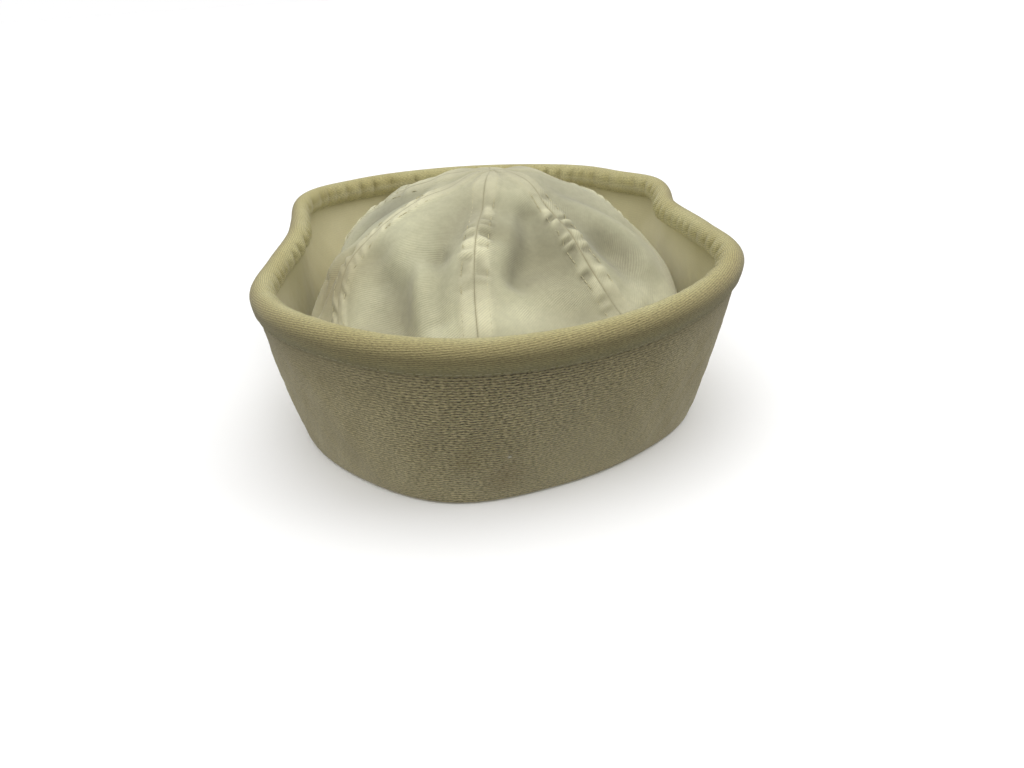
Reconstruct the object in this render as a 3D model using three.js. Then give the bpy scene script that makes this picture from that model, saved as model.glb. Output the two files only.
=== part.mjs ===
// A soft cotton sailor cap: six crown gores, a turned-up stitched brim and the hem rolled over its edge.
// Millimetres, +Z up, standing on its folded lower edge. The wearer's front faces -Y.

import * as THREE from 'three';

// Plan and height of the cap
const HEAD_RADIUS = 100;
const RIM_HEIGHT = 73;
const RIM_FLARE = 20;
const BRIM_BELLY = 1;
const CROWN_HEIGHT = 101.5;
const CROWN_DENT = 6;

// Cloth thicknesses
const BRIM_PLIES = 2.8;
const HEM_CLOTH = 1.2;
const CROWN_CLOTH = 1.2;
const SEAM_RAISE = 0.8;

// The fold at the bottom, the hem at the top, the seams on the crown.
// Near the apex the seam's band and its step keep to these limits, as shares of the gore's width.
const FOLD_INNER_RADIUS = 0.4;
const CROWN_SETBACK = 3.5;
const TURN_IN_MARGIN = 0.6;
const HEM_ROLL_RADIUS = 5;
const HEM_DEPTH = 7;
const HEM_EDGE_COVER = 2;
const SEAM_BAND = 6;
const SEAM_STEP = 1.2;
const SEAM_BAND_LIMIT = 0.3;
const SEAM_STEP_LIMIT = 0.36;
const APEX_HOLE_RADIUS = 1.2;
const FIT = 0.3;

// The small steps that slopes are measured over: degrees round, shares of the way up
const TURN_STEP = 0.5;
const WALL_STEP = 0.01;
const CROWN_STEP = 0.004;

// How fine the facets are: degrees between the brim's sections, then counts
const SECTION_TURN = 5;
const WALL_STEPS = 8;
const FOLD_STEPS = 3;
const ROLL_STEPS = 8;
const GORE_ROWS = 14;
const PANEL_COLUMNS = 8;
const SEAM_COLUMNS = 2;

// The brim in plan and height: a row for each section on the way round, counter-clockwise from +X.
// fold is a share of HEAD_RADIUS, flare of RIM_FLARE and rise of RIM_HEIGHT.
const BRIM_SECTIONS = [
  { bearing: 0.0, fold: 0.92, flare: 0.15, rise: 1.02 },
  { bearing: 22.5, fold: 0.97, flare: 0.81, rise: 1.025 },
  { bearing: 34.0, fold: 1.0, flare: 0.7, rise: 1.02 },
  { bearing: 45.0, fold: 1.03, flare: 0.86, rise: 1.01 },
  { bearing: 67.5, fold: 1.06, flare: 0.88, rise: 1.0 },
  { bearing: 90.0, fold: 1.07, flare: 0.99, rise: 1.0 },
  { bearing: 112.5, fold: 1.07, flare: 1.12, rise: 1.005 },
  { bearing: 135.0, fold: 1.03, flare: 0.73, rise: 1.035 },
  { bearing: 146.0, fold: 0.99, flare: 0.24, rise: 1.01 },
  { bearing: 157.5, fold: 0.95, flare: -0.01, rise: 1.01 },
  { bearing: 180.0, fold: 0.94, flare: 0.2, rise: 0.965 },
  { bearing: 202.5, fold: 1.015, flare: 0.54, rise: 0.98 },
  { bearing: 225.0, fold: 1.07, flare: 0.85, rise: 1.02 },
  { bearing: 247.5, fold: 1.125, flare: 0.79, rise: 0.995 },
  { bearing: 270.0, fold: 1.065, flare: 0.89, rise: 0.97 },
  { bearing: 292.5, fold: 1.035, flare: 1.05, rise: 1.01 },
  { bearing: 315.0, fold: 1.03, flare: 0.76, rise: 1.03 },
  { bearing: 337.5, fold: 0.945, flare: 0.36, rise: 1.01 },
];

// The six crown seams, in degrees counter-clockwise from +X: where each starts at the seat,
// where it comes in at the apex, and how far it sways aside halfway up
const SEAMS = [
  { seat: 8, apex: 16, sway: 0 },
  { seat: 74, apex: 80, sway: 0 },
  { seat: 141, apex: 148, sway: 0 },
  { seat: 226, apex: 196, sway: -15 },
  { seat: 258, apex: 246, sway: 0 },
  { seat: 296, apex: 310, sway: -10 },
];

// The crown's profile is a rounded dome: these powers set how square its shoulder is.
// The seams meet off the middle: the shift of the top is in shares of CROWN_HEIGHT.
const CROWN_SHOULDER = { outward: 1.72, upward: 3 };
const APEX_SHIFT = { x: 0.06, y: 0.02 };

// Dents in the crown's cloth: depth is a share of CROWN_DENT (below nothing is a puff outward),
// height and tall are shares of CROWN_HEIGHT, wide is in degrees round the crown.
// Below DENT_SETTLE, a share of the height too, the cloth runs straight down to the seat.
const DENT_SETTLE = 0.2;
const CROWN_DENTS = [
  { bearing: 180, height: 0.35, wide: 38, tall: 0.35, depth: 0.85 },
  { bearing: 352, height: 0.45, wide: 38, tall: 0.3, depth: -1.1 },
  { bearing: 273, height: 0.78, wide: 9, tall: 0.16, depth: 0.7 },
  { bearing: 226, height: 0.68, wide: 7, tall: 0.2, depth: 0.6 },
  { bearing: 241, height: 0.82, wide: 5, tall: 0.12, depth: 0.4 },
  { bearing: 306, height: 0.7, wide: 8, tall: 0.14, depth: 0.4 },
  { bearing: 197, height: 0.5, wide: 8, tall: 0.2, depth: -0.5 },
];

const CLOTH_COLOURS = { crown: 0xe4e1d2, brim: 0xc9c3a4, hem: 0xd2cb9f };
const CLOTH_ROUGHNESS = 0.9;

const FULL_TURN = 360;
const radians = THREE.MathUtils.degToRad;

// One column of the section table at any bearing, on a smooth curve that closes on itself
function around(column, bearing) {
  const rows = BRIM_SECTIONS.length;
  const turned = ((bearing % FULL_TURN) + FULL_TURN) % FULL_TURN;
  const first = BRIM_SECTIONS.findLastIndex((section) => section.bearing <= turned);
  const knot = (step) => {
    const place = first + step;
    const laps = Math.floor(place / rows);
    const section = BRIM_SECTIONS[place - laps * rows];
    return { at: section.bearing + laps * FULL_TURN, value: section[column] };
  };
  const [before, start, end, after] = [knot(-1), knot(0), knot(1), knot(2)];
  const slope = (low, high) => (high.value - low.value) / (high.at - low.at);
  const tangent = (low, mid, high) => {
    const [left, right] = [mid.at - low.at, high.at - mid.at];
    return (slope(low, mid) * right + slope(mid, high) * left) / (left + right);
  };
  const span = end.at - start.at;
  const t = (turned - start.at) / span;
  const [startTangent, endTangent] = [tangent(before, start, end), tangent(start, end, after)];
  const ease = t * t * (3 - 2 * t);
  return start.value + ease * (end.value - start.value)
    + span * t * (1 - t) * ((1 - t) * startTangent - t * endTangent);
}

function planPoint(radius, bearing) {
  const angle = radians(bearing);
  return new THREE.Vector2(radius * Math.cos(angle), radius * Math.sin(angle));
}

function foldPoint(bearing) {
  return planPoint(HEAD_RADIUS * around('fold', bearing), bearing);
}

// The way out of the cap, square to the fold line, at a bearing
function foldOutward(bearing) {
  const along = foldPoint(bearing + TURN_STEP).sub(foldPoint(bearing - TURN_STEP)).normalize();
  return new THREE.Vector2(along.y, -along.x);
}

// The section of the brim at a bearing: its plane stands square on the fold line.
// It gives the middle line of the wall from the fold up to the rim, and carries points into space.
function brimSection(bearing) {
  const foot = foldPoint(bearing);
  const outward = foldOutward(bearing);
  const sideways = new THREE.Vector2(-outward.y, outward.x);
  const reach = HEAD_RADIUS * around('fold', bearing) + RIM_FLARE * around('flare', bearing);
  const lean = planPoint(reach, bearing).sub(foot);
  const rimOut = lean.dot(outward);
  const rimAside = lean.dot(sideways);
  const rimUp = RIM_HEIGHT * around('rise', bearing);
  const foldRadius = FOLD_INNER_RADIUS + BRIM_PLIES / 2;
  const heel = new THREE.Vector2(-foldRadius - BRIM_PLIES / 2, foldRadius + BRIM_PLIES / 2);
  const rim = new THREE.Vector2(rimOut, rimUp);

  const chordAngle = Math.atan2(rim.x + BRIM_PLIES / 2, rim.y - heel.y);
  const startAngle = chordAngle + Math.atan((4 * BRIM_BELLY) / rim.distanceTo(heel));
  const spoke = new THREE.Vector2(Math.cos(startAngle), -Math.sin(startAngle));
  const wallStart = heel.clone().addScaledVector(spoke, foldRadius);
  const chord = rim.clone().sub(wallStart);
  const belly = new THREE.Vector2(chord.y, -chord.x).normalize().multiplyScalar(4 * BRIM_BELLY);

  return {
    heel,
    foldRadius,
    startAngle,
    wallLength: chord.length(),
    // the wall's middle line: share 0 at the fold, 1 at the middle of the rim's roll
    middle(share) {
      const bow = share < 1 ? share * (1 - share) : 1 - share;
      return wallStart.clone().addScaledVector(chord, share).addScaledVector(belly, bow);
    },
    // a point a given way down from the rim and out from the middle line
    beside(down, out) {
      const share = 1 - down / chord.length();
      const up = this.middle(share + WALL_STEP).sub(this.middle(share - WALL_STEP)).normalize();
      return this.middle(share).add(new THREE.Vector2(up.y, -up.x).multiplyScalar(out));
    },
    toSpace(point) {
      const plan = foot.clone().addScaledVector(outward, point.x);
      plan.addScaledVector(sideways, (rimAside * point.y) / rimUp);
      return new THREE.Vector3(plan.x, plan.y, point.y);
    },
  };
}

// A closed ring through sections that are each a closed outline of the same number of points
function ringGeometry(outlineAt) {
  const positions = [];
  const triangles = [];
  const points = outlineAt(0).length;
  const sections = Math.round(FULL_TURN / SECTION_TURN);
  for (let section = 0; section < sections; section += 1) {
    for (const point of outlineAt((section * FULL_TURN) / sections)) {
      positions.push(point.x, point.y, point.z);
    }
  }
  const index = (section, point) => (section % sections) * points + (point % points);
  for (let section = 0; section < sections; section += 1) {
    for (let point = 0; point < points; point += 1) {
      const corners = [
        index(section, point),
        index(section + 1, point),
        index(section + 1, point + 1),
        index(section, point + 1),
      ];
      triangles.push(corners[0], corners[1], corners[2], corners[0], corners[2], corners[3]);
    }
  }
  const geometry = new THREE.BufferGeometry();
  geometry.setAttribute('position', new THREE.Float32BufferAttribute(positions, 3));
  geometry.setIndex(triangles);
  return geometry;
}

// The stitched wall with the fold below it and the turned-in edge that carries the crown
function brimBandOutline(bearing) {
  const section = brimSection(bearing);
  const half = BRIM_PLIES / 2;
  const turnIn = BRIM_PLIES + CROWN_SETBACK + CROWN_CLOTH + TURN_IN_MARGIN;
  const outer = [new THREE.Vector2(-turnIn, 0)];
  const inner = [new THREE.Vector2(-turnIn, BRIM_PLIES)];
  for (let step = 0; step <= FOLD_STEPS; step += 1) {
    const turn = (step / FOLD_STEPS) * (Math.PI / 2 - section.startAngle);
    const spoke = new THREE.Vector2(Math.sin(turn), -Math.cos(turn));
    outer.push(section.heel.clone().addScaledVector(spoke, section.foldRadius + half));
    inner.push(section.heel.clone().addScaledVector(spoke, section.foldRadius - half));
  }
  const wallTop = HEM_EDGE_COVER + FIT;
  for (let step = 1; step <= WALL_STEPS; step += 1) {
    const down = section.wallLength + (step / WALL_STEPS) * (wallTop - section.wallLength);
    outer.push(section.beside(down, half));
    inner.push(section.beside(down, -half));
  }
  return [...outer, ...inner.reverse()].map((point) => section.toSpace(point));
}

// The hem hugs the wall's top edge. It is flush down the outside and rolled full towards the inside.
function brimHemOutline(bearing) {
  const section = brimSection(bearing);
  const slot = BRIM_PLIES / 2 + FIT;
  const leg = slot + HEM_CLOTH;
  const rollMiddle = leg - HEM_ROLL_RADIUS;
  const shoulder = (HEM_ROLL_RADIUS - rollMiddle + leg) / 2;
  const points = [
    section.beside(HEM_DEPTH, slot),
    section.beside(HEM_DEPTH, leg),
  ];
  for (let step = 0; step <= ROLL_STEPS; step += 1) {
    const turn = (step / ROLL_STEPS) * Math.PI;
    const over = -HEM_ROLL_RADIUS * Math.sin(turn);
    points.push(section.beside(over, rollMiddle + HEM_ROLL_RADIUS * Math.cos(turn)));
  }
  points.push(
    section.beside(HEM_ROLL_RADIUS, -shoulder),
    section.beside(HEM_DEPTH, -leg),
    section.beside(HEM_DEPTH, -slot),
    section.beside(HEM_EDGE_COVER, -slot),
    section.beside(HEM_EDGE_COVER, slot),
  );
  return points.map((point) => section.toSpace(point));
}

// How far the crown's cloth stands in from its smooth form, in millimetres
function dentDepth(bearing, height) {
  let depth = 0;
  for (const dent of CROWN_DENTS) {
    const turn = ((bearing - dent.bearing + FULL_TURN * 1.5) % FULL_TURN) - FULL_TURN / 2;
    const aside = turn / dent.wide;
    const above = (height - dent.height) / dent.tall;
    depth += CROWN_DENT * dent.depth * Math.exp(-aside * aside - above * above);
  }
  return depth * THREE.MathUtils.smoothstep(height, 0, DENT_SETTLE);
}

const CROWN_SEAT = BRIM_PLIES + FIT;
const CROWN_RISE = CROWN_HEIGHT - CROWN_SEAT;

// A point of the crown's outer face: quarter runs from 0 at the seat to 1 at the apex
function crownPoint(bearing, quarter) {
  const angle = (quarter * Math.PI) / 2;
  const reach = Math.cos(angle) ** (2 / CROWN_SHOULDER.outward);
  const height = Math.sin(angle) ** (2 / CROWN_SHOULDER.upward);
  const seat = foldPoint(bearing).addScaledVector(foldOutward(bearing), -BRIM_PLIES - CROWN_SETBACK);
  const sink = dentDepth(bearing, height) / seat.length();
  const plan = seat.multiplyScalar(reach * (1 - sink));
  plan.x += APEX_SHIFT.x * CROWN_HEIGHT * height ** 3;
  plan.y += APEX_SHIFT.y * CROWN_HEIGHT * height ** 3;
  return new THREE.Vector3(plan.x, plan.y, CROWN_SEAT + CROWN_RISE * height);
}

function crownOutward(bearing, quarter) {
  const right = crownPoint(bearing + TURN_STEP, quarter);
  const along = right.sub(crownPoint(bearing - TURN_STEP, quarter));
  const low = Math.max(quarter - CROWN_STEP, 0);
  const up = crownPoint(bearing, quarter + CROWN_STEP).sub(crownPoint(bearing, low));
  return along.cross(up).normalize();
}

function seamBearing(seam, quarter) {
  const sway = seam.sway * Math.sin(Math.PI * quarter) ** 2;
  return seam.seat + (seam.apex - seam.seat) * quarter + sway;
}

// One gore: two faces a cloth's thickness apart, the outer one raised in a band along each seam
function goreGeometry(startSeam, endSeam) {
  const positions = [];
  const triangles = [];
  const columns = 2 * SEAM_COLUMNS + PANEL_COLUMNS + 1;
  const apexReach = (APEX_HOLE_RADIUS / HEAD_RADIUS) ** (CROWN_SHOULDER.outward / 2);
  const topQuarter = 1 - apexReach / (Math.PI / 2);
  const lap = endSeam.seat < startSeam.seat ? FULL_TURN : 0;
  for (let row = 0; row < GORE_ROWS; row += 1) {
    const quarter = (topQuarter * row) / (GORE_ROWS - 1);
    const startBearing = seamBearing(startSeam, quarter);
    const endBearing = seamBearing(endSeam, quarter) + lap;
    const width = crownPoint(startBearing, quarter).distanceTo(crownPoint(endBearing, quarter));
    const gap = FIT / 2 / width;
    const band = Math.min(SEAM_BAND / width, SEAM_BAND_LIMIT);
    const step = Math.min((SEAM_BAND + SEAM_STEP) / width, SEAM_STEP_LIMIT);
    for (let column = 0; column < columns; column += 1) {
      const panel = (column - SEAM_COLUMNS) / PANEL_COLUMNS;
      let share = step + (1 - 2 * step) * panel;
      let raise = 0;
      if (column < SEAM_COLUMNS) {
        share = column === 0 ? gap : band;
        raise = SEAM_RAISE;
      } else if (column >= columns - SEAM_COLUMNS) {
        share = column === columns - 1 ? 1 - gap : 1 - band;
        raise = SEAM_RAISE;
      }
      const bearing = startBearing + share * (endBearing - startBearing);
      const outward = crownOutward(bearing, quarter);
      const smooth = crownPoint(bearing, quarter);
      const outer = smooth.clone().addScaledVector(outward, raise);
      const inner = smooth.clone().addScaledVector(outward, -CROWN_CLOTH);
      positions.push(outer.x, outer.y, outer.z, inner.x, inner.y, inner.z);
    }
  }
  const outerIndex = (row, column) => 2 * (row * columns + column);
  const innerIndex = (row, column) => outerIndex(row, column) + 1;
  const quad = (a, b, c, d) => triangles.push(a, b, c, a, c, d);
  const lastRow = GORE_ROWS - 1;
  const lastColumn = columns - 1;
  for (let row = 0; row < lastRow; row += 1) {
    for (let column = 0; column < lastColumn; column += 1) {
      const [right, above] = [column + 1, row + 1];
      quad(outerIndex(row, column), outerIndex(row, right),
        outerIndex(above, right), outerIndex(above, column));
      quad(innerIndex(row, column), innerIndex(above, column),
        innerIndex(above, right), innerIndex(row, right));
    }
    quad(outerIndex(row, 0), outerIndex(row + 1, 0), innerIndex(row + 1, 0), innerIndex(row, 0));
    quad(outerIndex(row, lastColumn), innerIndex(row, lastColumn),
      innerIndex(row + 1, lastColumn), outerIndex(row + 1, lastColumn));
  }
  for (let column = 0; column < lastColumn; column += 1) {
    const right = column + 1;
    quad(outerIndex(0, column), innerIndex(0, column), innerIndex(0, right), outerIndex(0, right));
    quad(outerIndex(lastRow, column), outerIndex(lastRow, right),
      innerIndex(lastRow, right), innerIndex(lastRow, column));
  }
  const geometry = new THREE.BufferGeometry();
  geometry.setAttribute('position', new THREE.Float32BufferAttribute(positions, 3));
  geometry.setIndex(triangles);
  return geometry;
}

function clothMesh(name, geometry, color) {
  const cloth = new THREE.MeshStandardMaterial({ color, roughness: CLOTH_ROUGHNESS, metalness: 0 });
  const mesh = new THREE.Mesh(geometry, cloth);
  mesh.name = name;
  return mesh;
}

const cap = new THREE.Group();
cap.add(clothMesh('brim_band', ringGeometry(brimBandOutline), CLOTH_COLOURS.brim));
cap.add(clothMesh('brim_hem', ringGeometry(brimHemOutline), CLOTH_COLOURS.hem));
SEAMS.forEach((seam, gore) => {
  const next = SEAMS[(gore + 1) % SEAMS.length];
  cap.add(clothMesh(`crown_gore_${gore + 1}`, goreGeometry(seam, next), CLOTH_COLOURS.crown));
});

// The origin is the middle of the cap's plan, on the surface that it stands on
const reach = new THREE.Box3().setFromObject(cap);
const middle = reach.getCenter(new THREE.Vector3());
cap.position.set(-middle.x, -middle.y, -reach.min.z);

export default cap;
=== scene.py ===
# %% [markdown]
# # A cotton sailor cap
# The cap is sewn from eight pieces of cotton. Six panels make the crown, a brim of several plies is
# stitched in close rows and turned up all round, and a hem is rolled over the brim's edge. The packed
# model gives the size and place of each piece. This script gives each one its cloth, seams and thread.

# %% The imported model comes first, as the frame that everything is fitted to
import math
import random

import bmesh
import bpy
import numpy as np
from mathutils import Matrix, Vector


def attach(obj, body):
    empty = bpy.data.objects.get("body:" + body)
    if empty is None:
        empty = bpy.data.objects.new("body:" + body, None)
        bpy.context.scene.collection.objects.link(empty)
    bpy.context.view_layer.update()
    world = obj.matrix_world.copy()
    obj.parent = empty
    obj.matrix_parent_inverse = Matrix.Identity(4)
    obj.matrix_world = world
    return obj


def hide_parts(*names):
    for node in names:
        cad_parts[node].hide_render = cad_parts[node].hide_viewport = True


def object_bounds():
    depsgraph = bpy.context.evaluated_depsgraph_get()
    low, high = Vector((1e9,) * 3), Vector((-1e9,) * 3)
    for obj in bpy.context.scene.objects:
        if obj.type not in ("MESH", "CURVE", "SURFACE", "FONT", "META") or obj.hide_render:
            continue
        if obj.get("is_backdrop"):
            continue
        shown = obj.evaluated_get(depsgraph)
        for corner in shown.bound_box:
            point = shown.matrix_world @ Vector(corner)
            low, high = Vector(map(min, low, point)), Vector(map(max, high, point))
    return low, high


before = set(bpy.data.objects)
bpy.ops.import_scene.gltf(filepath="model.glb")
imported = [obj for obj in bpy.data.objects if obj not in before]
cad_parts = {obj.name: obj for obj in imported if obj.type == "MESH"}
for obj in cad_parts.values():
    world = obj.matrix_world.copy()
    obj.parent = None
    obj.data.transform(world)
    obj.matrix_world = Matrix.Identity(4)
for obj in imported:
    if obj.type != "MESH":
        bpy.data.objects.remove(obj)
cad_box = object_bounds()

MM = 0.001
FULL_TURN = 360.0
scene = bpy.context.scene
print("frame nodes:", sorted(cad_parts))

# %% [markdown]
# The camera stands where the photographer stood: in front of the cap, a little to its left, looking
# down by 27 degrees and held slightly askew. It was solved from the cap's outline, so its focal length
# is given in pixels of a 1024 x 768 image, and the shift centres the view as the photograph does.
# The cap's sizes below are in millimetres, measured from the middle of the head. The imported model's
# origin lies a little beside that point.

# %% Camera
IMAGE_WIDTH = 1024
IMAGE_HEIGHT = 768
FOCAL_PIXELS = 775.15
AIM_PIXEL = (492.9, 371.8)
AIM_DISTANCE = 399.6
CAMERA_ELEVATION = 27.37
CAMERA_TURN = 12.25
CAMERA_ROLL = 3.51
SENSOR = 36.0
HEAD_MIDDLE = (-0.6586, -1.4110, 0.0)


def make_camera():
    camera = bpy.data.objects.new("camera", bpy.data.cameras.new("camera"))
    scene.collection.objects.link(camera)
    elevation, turn = math.radians(CAMERA_ELEVATION), math.radians(CAMERA_TURN)
    back = Vector((-math.sin(turn) * math.cos(elevation),
                   -math.cos(turn) * math.cos(elevation), math.sin(elevation)))
    camera.location = (Vector(HEAD_MIDDLE) + back * AIM_DISTANCE) * MM
    level = (-back).to_track_quat("-Z", "Y").to_matrix().to_4x4()
    tilted = level @ Matrix.Rotation(-math.radians(CAMERA_ROLL), 4, "Z")
    camera.rotation_euler = tilted.to_euler()
    camera.data.sensor_width = SENSOR
    camera.data.lens = FOCAL_PIXELS * SENSOR / IMAGE_WIDTH
    camera.data.shift_x = (IMAGE_WIDTH / 2 - AIM_PIXEL[0]) / IMAGE_WIDTH
    camera.data.shift_y = (AIM_PIXEL[1] - IMAGE_HEIGHT / 2) / IMAGE_WIDTH
    camera.data.clip_start = 0.01
    camera.data.clip_end = 100.0
    scene.camera = camera
    print("camera at", tuple(round(c, 4) for c in camera.location), "lens", round(camera.data.lens, 2))


make_camera()

# %% [markdown]
# A sailor cap has few straight lines: its fold runs round the head, its rim flares out, and both sag
# and bulge where the cloth happened to fall. A short table gives the brim's shape at a few bearings,
# as shares of the named sizes, and a smooth closed curve fills in between. Bearings go
# counter-clockwise from the cap's right side, so the front is at 270 degrees.

# %% Sizes of the cap
HEAD_RADIUS = 100.0
RIM_HEIGHT = 73.0
RIM_FLARE = 20.0
BRIM_BELLY = 1.0
BRIM_PLIES = 2.8
FOLD_INNER_RADIUS = 0.4
CROWN_HEIGHT = 101.5
CROWN_DENT = 6.0
CROWN_CLOTH = 1.2
CROWN_SETBACK = 3.5
TURN_IN_MARGIN = 0.6
SEAM_RAISE = 0.8
SEAM_BAND = 6.0
HEM_CLOTH = 1.2
HEM_ROLL_RADIUS = 5.0
HEM_DEPTH = 7.0
HEM_EDGE_COVER = 2.0
FIT = 0.3
CROWN_SEAT = BRIM_PLIES + FIT

BRIM_SECTIONS = [
    dict(bearing=0.0, fold=0.92, flare=0.15, rise=1.02),
    dict(bearing=22.5, fold=0.97, flare=0.81, rise=1.025),
    dict(bearing=34.0, fold=1.0, flare=0.7, rise=1.02),
    dict(bearing=45.0, fold=1.03, flare=0.86, rise=1.01),
    dict(bearing=67.5, fold=1.06, flare=0.88, rise=1.0),
    dict(bearing=90.0, fold=1.07, flare=0.99, rise=1.0),
    dict(bearing=112.5, fold=1.07, flare=1.12, rise=1.005),
    dict(bearing=135.0, fold=1.03, flare=0.73, rise=1.035),
    dict(bearing=146.0, fold=0.99, flare=0.24, rise=1.01),
    dict(bearing=157.5, fold=0.95, flare=-0.01, rise=1.01),
    dict(bearing=180.0, fold=0.94, flare=0.2, rise=0.965),
    dict(bearing=202.5, fold=1.015, flare=0.54, rise=0.98),
    dict(bearing=225.0, fold=1.07, flare=0.85, rise=1.02),
    dict(bearing=247.5, fold=1.125, flare=0.79, rise=0.995),
    dict(bearing=270.0, fold=1.065, flare=0.89, rise=0.97),
    dict(bearing=292.5, fold=1.035, flare=1.05, rise=1.01),
    dict(bearing=315.0, fold=1.03, flare=0.76, rise=1.03),
    dict(bearing=337.5, fold=0.945, flare=0.36, rise=1.01),
]


# %% The closed curve through a column of the table
def around(column, bearing):
    turned = np.mod(bearing, FULL_TURN)
    bearings = np.array([section["bearing"] for section in BRIM_SECTIONS])
    values = np.array([section[column] for section in BRIM_SECTIONS])
    first = np.searchsorted(bearings, turned, side="right") - 1

    def knot(step):
        place = first + step
        lap, row = np.divmod(place, len(values))
        return bearings[row] + FULL_TURN * lap, values[row]

    knots = [knot(step) for step in (-1, 0, 1, 2)]
    spans = [knots[n + 1][0] - knots[n][0] for n in range(3)]
    slopes = [(knots[n + 1][1] - knots[n][1]) / spans[n] for n in range(3)]
    start_slope = (slopes[0] * spans[1] + slopes[1] * spans[0]) / (spans[0] + spans[1])
    end_slope = (slopes[1] * spans[2] + slopes[2] * spans[1]) / (spans[1] + spans[2])
    t = (turned - knots[1][0]) / spans[1]
    ease = t * t * (3 - 2 * t)
    level = knots[1][1] + ease * (knots[2][1] - knots[1][1])
    return level + spans[1] * t * (1 - t) * ((1 - t) * start_slope - t * end_slope)


def smooth_step(value, low, high):
    share = np.clip((value - low) / (high - low), 0.0, 1.0)
    return share * share * (3 - 2 * share)


def plan_point(radius, bearing):
    angle = np.radians(bearing)
    return np.stack([radius * np.cos(angle), radius * np.sin(angle)], axis=-1)


def fold_point(bearing):
    return plan_point(HEAD_RADIUS * around("fold", bearing), bearing)


def fold_outward(bearing):
    along = fold_point(bearing + 0.5) - fold_point(bearing - 0.5)
    along = along / np.linalg.norm(along, axis=-1, keepdims=True)
    return np.stack([along[..., 1], -along[..., 0]], axis=-1)


# %% [markdown]
# At each bearing the brim is a section that stands square on the fold: a turned-in edge that carries
# the crown, a tight fold, and a wall that leans out and bellies a little. A small class holds the
# sections of many bearings at once, so that whole sheets of points can be placed in one go.

# %% Sections of the brim
class BrimSections:
    def __init__(self, bearing):
        self.foot = fold_point(bearing)
        self.outward = fold_outward(bearing)
        self.sideways = np.stack([-self.outward[..., 1], self.outward[..., 0]], axis=-1)
        reach = HEAD_RADIUS * around("fold", bearing) + RIM_FLARE * around("flare", bearing)
        lean = plan_point(reach, bearing) - self.foot
        self.rim_aside = (lean * self.sideways).sum(-1)
        self.rim_up = RIM_HEIGHT * around("rise", bearing)
        rim = np.stack([(lean * self.outward).sum(-1), self.rim_up], axis=-1)
        self.fold_radius = FOLD_INNER_RADIUS + BRIM_PLIES / 2
        self.heel = np.array([-self.fold_radius - BRIM_PLIES / 2, self.fold_radius + BRIM_PLIES / 2])
        chord_angle = np.arctan2(rim[..., 0] + BRIM_PLIES / 2, rim[..., 1] - self.heel[1])
        span = np.linalg.norm(rim - self.heel, axis=-1)
        self.start_angle = chord_angle + np.arctan(4 * BRIM_BELLY / span)
        spoke = np.stack([np.cos(self.start_angle), -np.sin(self.start_angle)], axis=-1)
        self.wall_start = self.heel + self.fold_radius * spoke
        self.chord = rim - self.wall_start
        self.wall_length = np.linalg.norm(self.chord, axis=-1)
        square = np.stack([self.chord[..., 1], -self.chord[..., 0]], axis=-1)
        self.belly = 4 * BRIM_BELLY * square / self.wall_length[..., None]

    def middle(self, share):
        bow = np.where(share < 1, share * (1 - share), 1 - share)
        return self.wall_start + self.chord * share[..., None] + self.belly * bow[..., None]

    def beside(self, down, out):
        share = 1 - down / self.wall_length
        up = self.middle(share + 0.01) - self.middle(share - 0.01)
        up = up / np.linalg.norm(up, axis=-1, keepdims=True)
        square = np.stack([up[..., 1], -up[..., 0]], axis=-1)
        return self.middle(share) + square * np.asarray(out)[..., None]

    def to_space(self, point):
        plan = self.foot + self.outward * point[..., :1]
        plan = plan + self.sideways * (self.rim_aside * point[..., 1] / self.rim_up)[..., None]
        return np.concatenate([plan, point[..., 1:]], axis=-1)


# %% [markdown]
# Every piece of cloth starts as a flat grid from a bmesh operator, and its rows and columns are then
# laid on their places. The grid's own lengths on the body become its UV map in metres, so weave and
# stitches keep their real size wherever the cloth goes. A strip that runs all round is welded to
# itself at the back, where the real brim has its join.

# %% Laying a grid of cloth in place
def lay_cloth(name, across, along, place, ring=False):
    flat = bmesh.new()
    bmesh.ops.create_grid(flat, x_segments=len(across) - 1, y_segments=len(along) - 1, size=0.5)
    mesh = bpy.data.meshes.new(name)
    flat.to_mesh(mesh)
    flat.free()
    spots = np.empty(len(mesh.vertices) * 3)
    mesh.vertices.foreach_get("co", spots)
    spots = spots.reshape(-1, 3)
    column = np.rint((spots[:, 0] + 0.5) * (len(across) - 1)).astype(int)
    row = np.rint((spots[:, 1] + 0.5) * (len(along) - 1)).astype(int)

    places = place(*np.meshgrid(np.asarray(across, float), np.asarray(along, float)))
    body = (places[row, column] + HEAD_MIDDLE) * MM
    mesh.vertices.foreach_set("co", body.ravel())

    widths = np.linalg.norm(np.diff(places, axis=1), axis=2)
    aside = np.concatenate([np.zeros((len(along), 1)), np.cumsum(widths, axis=1)], axis=1)
    middle = len(across) // 2
    aside = aside.mean(axis=0, keepdims=True).repeat(len(along), axis=0) if ring \
        else aside - aside[:, middle:middle + 1]
    heights = np.linalg.norm(np.diff(places, axis=0), axis=2).mean(axis=1)
    upward = np.concatenate([[0.0], np.cumsum(heights)])
    corners = np.empty(len(mesh.loops), int)
    mesh.loops.foreach_get("vertex_index", corners)
    pattern = np.stack([aside[row, column], upward[row]], axis=-1)[corners] * MM
    mesh.uv_layers.new(name="cut_cloth").data.foreach_set("uv", pattern.ravel())
    mesh.polygons.foreach_set("use_smooth", np.ones(len(mesh.polygons), bool))
    mesh.update()
    piece = bpy.data.objects.new(name, mesh)
    scene.collection.objects.link(piece)
    print(name, "lies", round(np.ptp(aside, axis=1).max()), "by", round(upward[-1]), "mm")
    return piece, row, column


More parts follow.
